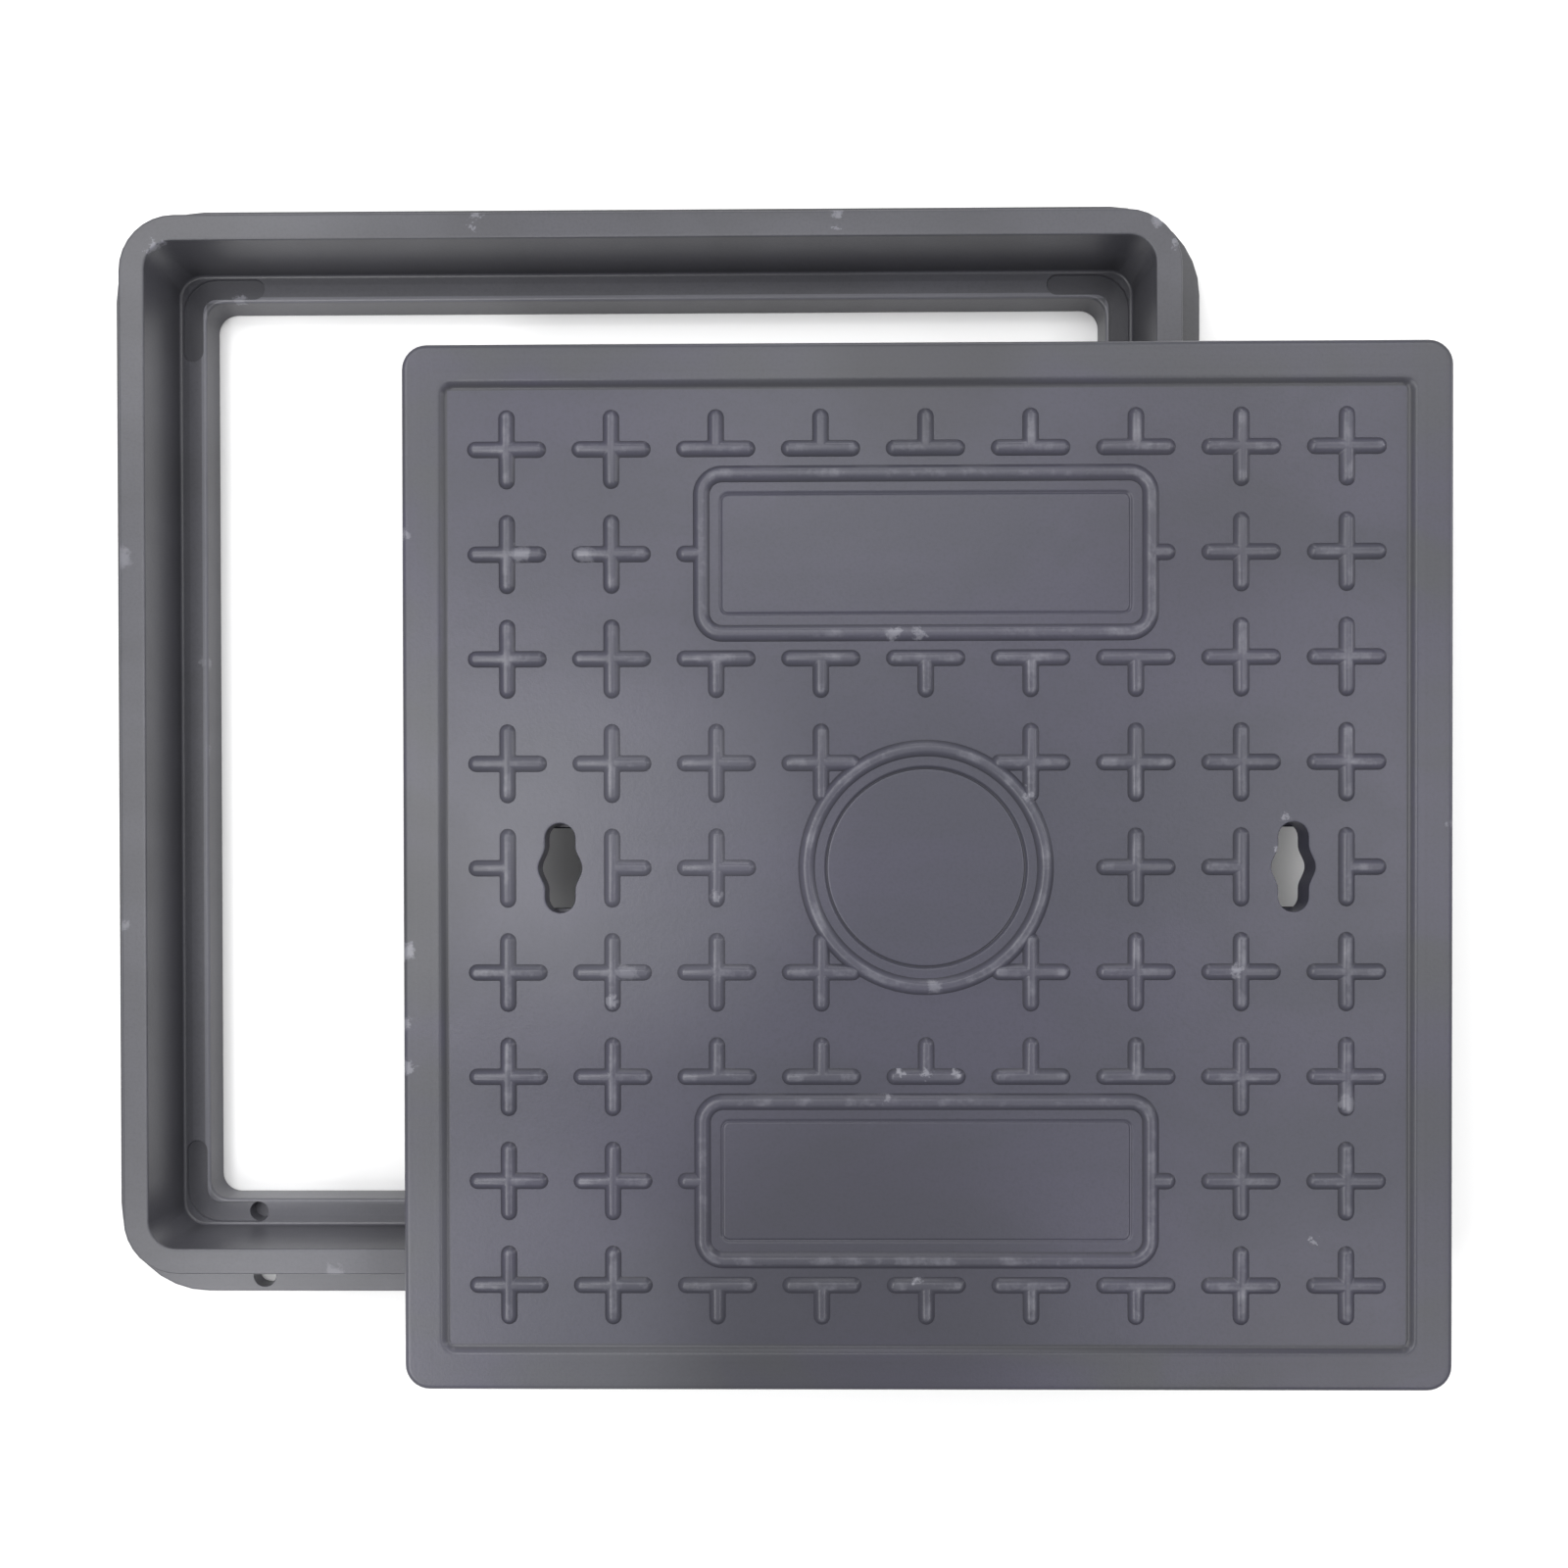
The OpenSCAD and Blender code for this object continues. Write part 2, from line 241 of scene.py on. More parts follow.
def band(half_width, line, bend_r, end_a, end_b, steps=6, tip_steps=6):
    """Outline of a band round one corner of a square, anticlockwise. Its middle runs along x = line and
    y = line and turns on a quarter circle of radius bend_r. Its ends are half circles, or straight where
    tip_steps is 0, at end_a on the x = line side and at end_b on the y = line side."""
    least_r = 0.3
    c = line - bend_r
    turn = np.linspace(0, math.pi / 2, steps + 1)
    out_r = bend_r + half_width
    in_r = max(bend_r - half_width, least_r)
    shift = c - (in_r - (bend_r - half_width))
    outer = np.stack([c + out_r * np.cos(turn), c + out_r * np.sin(turn)], 1)
    inner = np.stack([shift + in_r * np.cos(turn[::-1]), shift + in_r * np.sin(turn[::-1])], 1)
    if tip_steps:
        tip = np.linspace(0, math.pi, tip_steps + 1)
        tip_b = np.stack([end_b - half_width * np.sin(tip), line + half_width * np.cos(tip)], 1)
        tip_a = np.stack([line - half_width * np.cos(tip), end_a - half_width * np.sin(tip)], 1)
    else:
        tip_b = np.array([[end_b, line + half_width], [end_b, line - half_width]])
        tip_a = np.array([[line - half_width, end_a], [line + half_width, end_a]])
    return np.concatenate([outer, tip_b, inner, tip_a])


def turned(outline, quarters):
    """Turns an outline by quarters of a circle about the origin: (x, y) becomes (-y, x) each time."""
    x, y = outline[:, 0], outline[:, 1]
    for _ in range(quarters % 4):
        x, y = -y, x
    return np.stack([x, y], 1)


class Skin:
    """Collects the points and faces of one closed surface, in millimetres."""

    def __init__(self):
        self.points = []
        self.faces = []
        self.count = 0

    def add(self, points):
        """Adds points and returns the number of the first one."""
        first = self.count
        self.points.append(np.asarray(points, float).reshape(-1, 3))
        self.count += len(self.points[-1])
        return first

    def loft(self, rings, closed=False):
        """Quads between each ring and the next: (i, j), (i, j + 1), (i + 1, j + 1), (i + 1, j).
        Where closed, the last ring joins the first one."""
        first = self.add(rings)
        index = first + np.arange(rings.shape[0] * rings.shape[1]).reshape(rings.shape[:2])
        low = index if closed else index[:-1]
        high = np.roll(index, -1, 0) if closed else index[1:]
        quads = np.stack([low, np.roll(low, -1, 1), np.roll(high, -1, 1), high], -1)
        self.faces.extend(quads.reshape(-1, 4).tolist())

    def cap(self, ring):
        """One flat face inside a ring."""
        first = self.add(ring)
        self.faces.append(list(range(first, first + len(ring))))

    def fill(self, outer, holes):
        """Flat area between an outer ring and the rings of its holes, cut into triangles."""
        rings = [outer] + list(holes)
        first = self.add(np.concatenate(rings))
        triangles = tessellate_polygon([[Vector(p) for p in ring.tolist()] for ring in rings])
        self.faces.extend((np.array(triangles) + first).tolist())

    def piece(self, name, place, crease=38):
        """Makes the object: points times MM plus place, doubles merged, faces outwards, and shaded smooth
        where faces meet at less than the crease, in degrees."""
        points = np.concatenate(self.points) * MM + np.array(place)
        mesh = bpy.data.meshes.new(name)
        mesh.from_pydata(points.tolist(), [], self.faces)
        shape = bmesh.new()
        shape.from_mesh(mesh)
        bmesh.ops.remove_doubles(shape, verts=shape.verts, dist=MERGED * MM)
        bmesh.ops.dissolve_degenerate(shape, edges=shape.edges, dist=MERGED / 4 * MM)
        bmesh.ops.recalc_face_normals(shape, faces=shape.faces)
        shape.to_mesh(mesh)
        shape.free()
        mesh.polygons.foreach_set("use_smooth", np.ones(len(mesh.polygons), bool))
        mesh.set_sharp_from_angle(angle=math.radians(crease))
        piece = bpy.data.objects.new(name, mesh)
        bpy.context.scene.collection.objects.link(piece)
        return piece


# The cover

def mm(group):
    """The lengths of a property group in millimetres."""
    return SimpleNamespace(**{name: getattr(group, name) / MM for name in type(group).__annotations__})


def last_row(s):
    """Number of the outermost row of crosses, counted from the middle."""
    field = s.size - 2 * (s.border + s.slope)
    return int((field - s.cross) / 2 / s.pitch)


def panel_row(s):
    """Number of the row of crosses that a panel covers."""
    return last_row(s) - 1


def key_place(s):
    """How far the key slots are from the middle: between the last two columns of crosses."""
    return (last_row(s) - 0.5) * s.pitch


def arms(s):
    """The arms of each cross, as a dict from (column, row) to directions in quarters of a circle.
    A cross beside a panel or a key slot lacks the arm that points at it, and there is none
    under a panel or the middle disc."""
    right, up, left, down = range(4)
    last, panel = last_row(s), panel_row(s)
    panel_reach = int(s.panel_x / 2 / s.pitch)
    found = {}
    for col in range(-last, last + 1):
        for row in range(-last, last + 1):
            in_line = abs(col) <= panel_reach
            under_disc = math.hypot(col, row) * s.pitch < s.ring / 2
            if under_disc or (in_line and abs(row) == panel):
                continue
            keep = {right, up, left, down}
            if in_line and row in (panel + 1, 1 - panel):
                keep.discard(down)
            if in_line and row in (panel - 1, -panel - 1):
                keep.discard(up)
            if row == 0 and col in (-last, last - 1):
                keep.discard(right)
            if row == 0 and col in (last, 1 - last):
                keep.discard(left)
            found[col, row] = tuple(sorted(keep))
    return found


def cross_outline(half, keep, tip, crook=0.6, tip_steps=8, crook_steps=3):
    """Outline of a cross whose arms are 2 half wide, anticlockwise. Each arm ends in a half circle
    about the point tip from the middle, and arms that meet join in a small quarter circle."""
    parts = []
    a = np.linspace(-math.pi / 2, math.pi / 2, tip_steps + 1)
    end = np.stack([tip + half * np.cos(a), half * np.sin(a)], 1)
    b = np.linspace(math.pi * 1.5, math.pi, crook_steps + 1)
    corner = half + crook + crook * np.stack([np.cos(b), np.sin(b)], 1)
    for quarter in range(4):
        if quarter in keep:
            parts.append(turned(end, quarter))
            if (quarter + 1) % 4 in keep:
                parts.append(turned(corner, quarter))
    return np.concatenate(parts)


def bar_rows(s):
    """Half section of a raised bar as (half width, height), from its sunken foot to its flat top: the
    height is relief times 1 - (1 - t)^1.5 while the half width runs evenly from the foot to the top."""
    t = np.linspace(0, 1, 9)
    foot, top = s.bar_foot / 2, s.bar_top / 2
    sunken_foot = (foot + 0.3, -0.4)
    rise = np.stack([foot + (top - foot) * t, s.relief * (1 - (1 - t) ** 1.5)], 1)
    return np.concatenate([[sunken_foot], rise])


def crosses(s):
    """The raised crosses: one shell for each kind, repeated by adding each cross's place to its points."""
    skin = Skin()
    kinds = {}
    for place, keep in arms(s).items():
        kinds.setdefault(keep, []).append(place)
    tip = (s.cross - s.bar_foot) / 2
    field_z = s.height - s.relief
    rows = bar_rows(s)
    for keep, places in sorted(kinds.items()):
        rings = np.stack([at_height(cross_outline(half, keep, tip), field_z + z) for half, z in rows])
        for col, row in places:
            move = np.array([col * s.pitch, row * s.pitch, -BELOW])
            skin.loft(rings + move)
            skin.cap(rings[0] + move)
            skin.cap(rings[-1] + move)
    return skin


def bead_rows(s):
    """Closed section of a bead about its middle line, as (offset, height)."""
    half = bar_rows(s)
    return np.concatenate([half * [-1, 1], half[::-1]])


def beads(s):
    """The beads round the disc and the panels: the section carried round a circle or a rounded
    rectangle, and the tips of the crosses under the panels."""
    skin = Skin()
    field_z = s.height - s.relief
    rows = bead_rows(s) + [0, field_z]
    ring_r = (s.ring - s.bar_foot) / 2
    skin.loft(offset_rings(lambda o: circle(ring_r + o, count=128), rows), closed=True)
    inner = s.bar_foot / 2
    panel_y = panel_row(s) * s.pitch
    for side in (-1, 1):
        def outline(o):
            return round_rect(s.panel_x / 2 - inner + o, s.panel_y / 2 - inner + o,
                              s.panel_r - inner + o, centre=(0, side * panel_y), steps=14)
        skin.loft(offset_rings(outline, rows), closed=True)
        panel_tips(skin, s, side * panel_y)
    return skin


def panel_tips(skin, s, y):
    """The tips of a covered row of crosses, which stand out at both ends of a panel: two straight flanks
    and a half circle between them."""
    start = (s.panel_x - s.bar_foot) / 2
    tip = int(s.panel_x / 2 / s.pitch) * s.pitch + (s.cross - s.bar_foot) / 2
    a = np.linspace(-math.pi / 2, math.pi / 2, 9)
    rings = []
    for half, z in bar_rows(s):
        end = np.stack([tip + half * np.cos(a), half * np.sin(a)], 1)
        ring = np.concatenate([[(start, -half)], end, [(start, half)]])
        rings.append(at_height(ring, s.height - s.relief + z))
    rings = np.stack(rings)
    for side in (1, -1):
        placed = rings * [side, side, 1] + [0, y, -BELOW]
        skin.loft(placed)
        skin.cap(placed[0])
        skin.cap(placed[-1])


def key_outline(s, offset, x):
    """Key slot about (x, 0), anticlockwise: a long hole whose half width swells in the middle by
    (eye - width) / 4 times 1 + cos(180 degrees times y / reach)."""
    half = s.key_width / 2
    lobe = s.key_length / 2 - half
    reach = s.key_eye / 2
    y = np.linspace(-reach, reach, 17)
    swell = (s.key_eye - s.key_width) / 4 * (1 + np.cos(math.pi * y / reach))
    right = np.stack([half + offset + swell, y], 1)
    a = np.linspace(0, math.pi, 13)
    top = np.stack([(half + offset) * np.cos(a), lobe + (half + offset) * np.sin(a)], 1)
    loop = np.concatenate([right, top, -right, -top])
    return loop + [x, 0]


def cover_sides(s, field_z):
    """Rings from the field over the step, the border and the outer edge, and down the side to the base.
    Up to the border their corners turn about the field's corner points, and then about the cover's."""
    field_r, foot_r, strip = 4.0, 0.8, 0.4
    spread = 0.4  # how far the step reaches past its nominal width at both ends
    lean = 0.03  # how much the side has leant by the rings beside its two rounded ends
    half = s.size / 2
    field = half - s.border - s.slope
    border = field + s.slope
    field_core, core = field - field_r, half - s.corner
    slope = step((field - spread, field_z), (border + spread, s.height), 9)
    edge = bend((half - s.edge, s.height), (half, s.height - s.edge), count=7)
    base = half - s.draft
    foot = bend((base, foot_r), (base - foot_r, 0.0), level_first=False)
    rows = [(h, h - field_core, z) for h, z in [
        (field - spread - strip, field_z), *slope, (border + spread + KEEP, s.height)]]
    rows += [(h, h - core, z) for h, z in [
        (half - s.edge - KEEP, s.height), *edge, (half - lean, s.height - s.edge - KEEP),
        (base + lean, 2 * foot_r), *foot, (base - foot_r - LAND, 0.0)]]
    return square_rings(rows)


def sunken_areas(skin, s, field_z):
    """The sunken disc and panels, each with a fine line round it. Returns the rings at the field."""
    outside, bottom, inside = 0.9, -0.5, -1.3  # offsets of the line's outer side, bottom and inner side
    outer_strip, inner_strip, corner_r = 0.4, 0.5, 4
    panel_y = panel_row(s) * s.pitch
    gap = s.bar_foot + s.inset_gap
    shapes = [(s.disc, lambda o: circle(s.ring / 2 - gap + o, count=96))]
    for side in (-1, 1):
        shapes.append((s.inset, lambda o, side=side: round_rect(
            s.panel_x / 2 - gap + o, s.panel_y / 2 - gap + o, corner_r + o,
            centre=(0, side * panel_y), steps=6)))
    mouths = []
    for depth, shape in shapes:
        floor_z = field_z - depth
        line_z = floor_z - s.inset_line
        basin = offset_rings(shape, [
            (outside + outer_strip, field_z), *step((outside, field_z), (bottom, line_z)),
            *step((bottom, line_z), (inside, floor_z), 5)[1:], (inside - inner_strip, floor_z)])
        skin.loft(basin)
        skin.fill(basin[-1], [])
        mouths.append(basin[0])
    return mouths


def key_slots(skin, s, field_z, under_z):
    """The walls of the two key slots with rounded lips, as a dict from -1 and 1 to their rings."""
    lip_r, strip = 0.6, 0.3
    lip = [(lip_r + strip, field_z), *bend((lip_r, field_z), (0, field_z - lip_r)),
           (0, field_z - 2 * lip_r), (0, under_z + KEEP), (0, under_z)]
    slots = {}
    for side in (-1, 1):
        slots[side] = offset_rings(lambda o: key_outline(s, o, side * key_place(s)), lip)
        skin.loft(slots[side])
    return slots


def rib_cells(skin, s, under_z, slots):
    """The ribbed underside: one drafted pocket for each cell between the ribs. A key slot comes out at
    the ceiling of its cell. Returns the rings at the base."""
    key_x = key_place(s)
    cavity = s.size / 2 - s.draft - s.skirt
    inside = key_x - s.pitch / 2
    columns = np.arange(-inside, inside + 1, s.pitch)
    lines_x = [-cavity, -inside - s.pitch, *columns, inside + s.pitch, cavity]
    rows_y = np.arange(0.5, cavity / s.pitch - 1, 1) * s.pitch
    lines_y = [-cavity, *-rows_y[::-1], *rows_y, cavity]
    mouths = []
    for x0, x1 in zip(lines_x[:-1], lines_x[1:]):
        for y0, y1 in zip(lines_y[:-1], lines_y[1:]):
            cell = cell_rings(s, (x0, x1), (y0, y1), cavity, under_z)
            skin.loft(cell)
            mouths.append(cell[0])
            has_slot = abs(x0 + x1) / 2 == key_x and y0 + y1 == 0
            slot = slots[-1 if x0 < 0 else 1]
            skin.fill(cell[-1], [slot[-1]] if has_slot else [])
    return mouths


def cell_rings(s, span_x, span_y, cavity, under_z):
    """Pocket between ribs: a rounded rectangle that shrinks evenly from its foot to the plate's underside,
    with a rounded mouth and a fillet at its ceiling."""
    wall_draft, mouth_r, fillet = 2.0, 0.5, 1.5
    mouth_strip, ceiling_strip, corner, deep_corner = 0.4, 0.5, 2.0, 3.0

    def edges(span, part):
        low, high = span
        rib = (s.rib_foot + (s.rib_root - s.rib_foot) * part) / 2
        wall = wall_draft * part
        return low + (wall if low == -cavity else rib), high - (wall if high == cavity else rib)

    mouth = bend((-mouth_r, 0.0), (0.0, mouth_r), count=4)
    ceiling = bend((0.0, under_z - fillet), (fillet, under_z), level_first=False, count=4)
    rows = [(-mouth_r - mouth_strip, 0.0, corner), *[(o, z, corner) for o, z in mouth],
            (0.0, under_z - fillet - ceiling_strip, deep_corner),
            *[(o, z, deep_corner - o / 2) for o, z in ceiling],
            (fillet + ceiling_strip, under_z, deep_corner / 2)]
    rings = []
    for o, z, r in rows:
        x0, x1 = edges(span_x, z / under_z)
        y0, y1 = edges(span_y, z / under_z)
        half_x, half_y = (x1 - x0) / 2 - o, (y1 - y0) / 2 - o
        rings.append(at_height(round_rect(half_x, half_y, r, ((x0 + x1) / 2, (y0 + y1) / 2), steps=3), z))
    return np.stack(rings)


def cover_body(s):
    """The plate with its border, sides, sunken areas, key slots and ribbed underside, as lofts between
    rings of a section and flat areas between them."""
    skin = Skin()
    field_z = s.height - s.relief
    under_z = field_z - s.plate
    rings = cover_sides(s, field_z)
    skin.loft(rings)
    holes = sunken_areas(skin, s, field_z)
    slots = key_slots(skin, s, field_z, under_z)
    skin.fill(rings[0], [*holes, slots[-1][0], slots[1][0]])
    skin.fill(rings[-1], rib_cells(skin, s, under_z, slots))
    return skin


# The frame

def opening_rings(s):
    """Rings up the clear opening, from the base to the ledge."""
    opening, edge = s.opening / 2, s.ledge_edge
    foot_r, foot_strip = 0.5, 0.7
    foot = bend((opening + foot_r, 0.0), (opening, foot_r), count=4)
    top = bend((opening, s.ledge - edge), (opening + edge, s.ledge), level_first=False)
    rows = [(opening + foot_r + foot_strip, 0.0), *foot,
            (opening, 2 * foot_r), (opening, s.ledge - edge - KEEP), *top, (opening + edge + NEAR, s.ledge)]
    core = opening - s.opening_r
    return square_rings([(h, h - core, z) for h, z in rows])


def upper_rings(s):
    """Rings from the ledge up the drafted pocket wall, over the rim, and down the outer wall and its
    fillet to the flange."""
    e, le, fillet = s.edge, s.ledge_edge, 1.8
    lean_top, lean_foot = 0.03, 0.05  # how much the outer wall has leant by the rings beside its ends
    seat, pocket, rim, wall = s.seat / 2, s.pocket / 2, s.rim / 2, s.wall / 2
    draft = (pocket - seat) / (s.height - s.ledge)
    inside = [
        (seat - le - NEAR, s.ledge), *bend((seat - le, s.ledge), (seat + le * draft, s.ledge + le)),
        (seat + (le + KEEP) * draft, s.ledge + le + KEEP),
        (pocket - (e + KEEP) * draft, s.height - e - KEEP),
        *bend((pocket - e * draft, s.height - e), (pocket + e, s.height), level_first=False),
        (pocket + e + KEEP, s.height)]
    outside = [
        (rim - e - KEEP, s.height), *bend((rim - e, s.height), (rim, s.height - e)),
        (rim + lean_top, s.height - e - KEEP), (wall - lean_foot, s.flange_t + fillet + KEEP),
        *bend((wall, s.flange_t + fillet), (wall + fillet, s.flange_t), level_first=False),
        (wall + fillet + LAND, s.flange_t)]
    seat_core, rim_core = seat - s.pocket_r, rim - s.rim_r
    rows = [(h, h - seat_core, z) for h, z in inside] + [(h, h - rim_core, z) for h, z in outside]
    return square_rings(rows)


def flange_rings(s):
    """Rings down the edge of the flange, from its top to the base."""
    flange, e, t = s.flange / 2, s.edge, s.flange_t
    foot_r, side_strip = 0.4, 0.5
    foot = bend((flange, foot_r), (flange - foot_r, 0.0), level_first=False, count=3)
    rows = [(flange - e - KEEP, t), *bend((flange - e, t), (flange, t - e)), (flange, t - e - KEEP),
            (flange, foot_r + side_strip), *foot, (flange - foot_r - LAND, 0.0)]
    core = flange - s.flange_r
    return square_rings([(h, h - core, z) for h, z in rows])


def corner_recesses(skin, s):
    """The recesses that turn round the ledge's corners, with the blind fixing hole in the end of the one
    at the front left. Returns the rings at the ledge."""
    slope, hole_edge, hole_foot = 0.4, 0.1, 0.2
    front_left = 2
    line = (s.opening + s.seat) / 4
    floor_z, blind_z = s.ledge - s.recess, s.ledge - s.hole_depth
    mouths = []
    for quarter in range(4):
        def outline(o):
            ends = s.recess_end, s.recess_end
            return turned(band(s.recess_w / 2 + o, line, s.pocket_r, *ends, tip_steps=10), quarter)
        rings = offset_rings(outline, step((0.0, s.ledge), (-slope, floor_z), 5))
        skin.loft(rings)
        mouths.append(rings[0])
        holes = []
        if quarter == front_left:
            well = offset_rings(lambda o: circle(s.ledge_hole / 2 + o, (-s.recess_end, -line)), [
                (0.0, floor_z), (-hole_edge, floor_z - hole_edge), (-hole_edge, blind_z + hole_foot),
                (-hole_edge - hole_foot, blind_z)])
            skin.loft(well)
            skin.cap(well[-1])
            holes = [well[0]]
        skin.fill(rings[-1], holes)
    return mouths


def anchor_holes(skin, s):
    """The two anchor holes through the flange with bevelled ends. Returns the rings of each."""
    bevel, strip, t = 0.3, 0.2, s.flange_t
    bore = [(bevel + strip, t), (bevel, t), (0.0, t - bevel), (0.0, bevel), (bevel, 0.0)]
    wells = []
    for place in ((-s.recess_end, -s.anchor_line), (-s.anchor_line, 0.0)):
        wells.append(offset_rings(lambda o: circle(s.anchor_hole / 2 + o, place), bore))
        skin.loft(wells[-1])
    return wells


def groove_pockets(s):
    """Outlines of the pockets in the base, each a function of its offset: straight ones between the webs
    and one round each corner. The boss of the fixing hole takes the end of its neighbours."""
    corner_r, bend_in, boss_wall = 2, 9, 5
    left_of_boss, front = 2, 3  # quarters: the pocket round the front left corner, and the front side
    line = (s.groove_in + s.groove_out) / 2
    half = (s.groove_out - s.groove_in) / 2
    webs = int((s.groove_in - 2 * half) / s.web_pitch - 0.5)
    lines = (np.arange(webs + 1) + 0.5) * s.web_pitch
    lines = np.concatenate([-lines[::-1], lines])
    corner_start = lines[-1] + s.web / 2
    boss = s.ledge_hole / 2 + boss_wall
    pockets = []
    for quarter in range(4):
        for low, high in zip(lines[:-1] + s.web / 2, lines[1:] - s.web / 2):
            if quarter == front:
                low = max(low, boss - s.recess_end)
            pockets.append(lambda o, m=(low + high) / 2, w=(high - low) / 2, q=quarter: turned(
                round_rect(half + o, w + o, corner_r + o, centre=(line, m), steps=3), q))
        end = s.recess_end + boss if quarter == left_of_boss else corner_start
        pockets.append(lambda o, b=end, q=quarter: turned(
            band(half + o, line, half + bend_in, corner_start - o, b - o, tip_steps=0), q))
    return pockets


def groove_mouths(skin, s):
    """The pockets of the groove in the base. Returns the rings at the base."""
    draft, bevel = 0.4, 0.8
    rows = [(0.0, 0.0), (-draft, s.groove_h - bevel), (-draft - bevel, s.groove_h)]
    mouths = []
    for outline in groove_pockets(s):
        rings = offset_rings(outline, rows)
        skin.loft(rings)
        skin.fill(rings[-1], [])
        mouths.append(rings[0])
    return mouths


def frame_body(s):
    """The frame, as lofts round a square: opening, ledge, pocket, rim, wall, flange and grooved base,
    with flat areas between the rings that have holes or recesses."""
    skin = Skin()
    inner, upper, outer = opening_rings(s), upper_rings(s), flange_rings(s)
    for rings in (inner, upper, outer):
        skin.loft(rings)
    skin.fill(upper[0], [inner[-1], *corner_recesses(skin, s)])
    anchors = anchor_holes(skin, s)
    skin.fill(outer[0], [upper[-1], *[well[0] for well in anchors]])
    skin.fill(outer[-1], [inner[0], *[well[-1] for well in anchors], *groove_mouths(skin, s)])
    return skin


# Finishes

# How many there are to a metre of each pattern in the resin
FLOW = (8.0, 16.0, 8.0)  # flow marks along x, y and z
STRIP_LINES = 330.0  # faint lines along the outer strip
GRAINS = 650.0  # sandy grain, drawn coarser than the real 0.3 mm so that it shows
RAGGED_GRAINS = 220.0  # noise that pushes the outlines of spots about
STREAKS = 60.0  # burnished streaks
WAVES = 45.0  # slight waves of the surface

STRIP = 22.5  # width of the plainer outer strip in mm: the cover's border or the frame's flange
RAGGED = 12  # how far the noise pushes the outlines of spots in all, in mm

# Pale nicks and scuffs as x, y and z from the middle of the foot, radius (all in mm) and strength; the rows
# with a radius of 110 mm or more are broad painted highlights
COVER_NICKS_AND_HIGHLIGHTS = (
    (-249.5, 159.7, 39, 4, 0.6), (-248.5, -39.3, 39, 5, 0.7), (-249, -74.5, 39, 4, 0.6),
    (-247.5, -94.7, 39, 4, 0.7), (170.7, 23.1, 37, 3, 0.6), (166.6, 7.7, 37, 2, 0.8),
    # The last entry on this line and the next row are broad painted highlights
    (185.4, -178.5, 37.5, 2, 0.6), (249, 20, 39, 3, 0.4), (-140, 10, 40, 115, 0.14),
    (-200, -220, 40, 120, 0.13),
)
BAR_NICKS_AND_HIGHLIGHTS = (
    (-15.4, 111, 40, 4, 0.7), (-3.3, 111, 40, 4, 0.6), (-12.9, -97, 40, 3, 0.9), (-0.3, -97.5, 40, 3, 0.8),
    (13.7, -97, 40, 3, 0.9), (-4.1, -196.2, 40, 4, 0.8), (-19, -108.7, 40, 4, 0.6),
    (147.2, -49.1, 40, 4, 0.8), (200.1, -112, 40, 6, 0.6), (3.9, -57, 40, 5, 0.5), (48.7, 34, 40, 4, 0.6),
    (-142.7, -50, 40, 7, 0.5), (-150, -64, 40, 4, 0.7), (-193.1, 150, 40, 6, 0.6),
    # The last entry on this line is a broad painted highlight
    (-162.7, 150, 40, 6, 0.5), (-100, -14, 40, 4, 0.6), (-140, 10, 40, 115, 0.14),
)
FRAME_NICKS_AND_HIGHLIGHTS = (
    (-248.6, 251.5, 60, 5, 0.9), (-222, 241, 19, 5, 0.7), (-240, 48.3, 19, 5, 0.5), (-240, 1.1, 19, 3, 0.6),
    (-161.4, -268.2, 60, 7, 0.5), (255.7, 262, 60, 4, 0.6), (266, 251.2, 60, 3, 0.6),
    (-87.2, 268, 60, 4, 0.7), (-88.7, 261, 60, 2.5, 0.6), (95, 268, 60, 4, 0.6), (94, 259, 60, 2, 0.5),
    (-267, 95.3, 60, 7, 0.5), (-267.3, -91.3, 60, 4, 0.5), (-250.6, 249.2, 60, 3.5, 1),
    # The last two entries on this line are broad painted highlights on the front of the flange
    (-246.4, 253.2, 60, 3.5, 1), (-190, -285, -10, 110, 0.32), (-80, -285, -10, 110, 0.32),
)

# Broad patches of painted shade on the cover's top, in the same way
COVER_PAINTED_SHADE = (
    (-40, -205, 40, 130, 0.4), (175, -242, 40, 60, 0.3), (0, 243, 40, 60, 0.4), (-242, 0, 40, 45, 0.3),
    (130, 175, 40, 80, 0.25), (-45, -130, 40, 60, 0.15),
)

# Zones of painted shade, and on the frame one of a painted highlight, in mm: full from one height to the
# next, gone at the third, and only between two distances from the middle, with their strength
# Painted shade at the step from the border to the field, and in a band just below the field: the line round
# the sunken disc and the tops of the key slots' walls
COVER_CREVICE_SHADE = ((36.5, 37.8, 39.2, 228.2, 233.0, 0.7), (36.0, 36.3, 36.6, 0.0, 200.0, 0.8))
# Painted shade at the feet of the crosses and beads
BAR_FOOT_SHADE = ((0.0, 37.5, 39.0, 0.0, 300.0, 0.7),)
# Painted highlight along the ledge's inner edge
FRAME_EDGE_HIGHLIGHT = ((17.8, 18.9, 19.4, 239.5, 242.8, 0.45),)
# Painted shade on the pocket wall, darkest towards its foot, in the ledge's recesses, and on the ledge
# beside the wall's foot
FRAME_CREVICE_SHADE = (
    (20.3, 25.0, 54.0, 253.0, 256.6, 0.45), (17.2, 17.7, 18.6, 240.5, 254.2, 0.5),
    (18.7, 19.4, 19.8, 249.0, 253.4, 0.3),
)


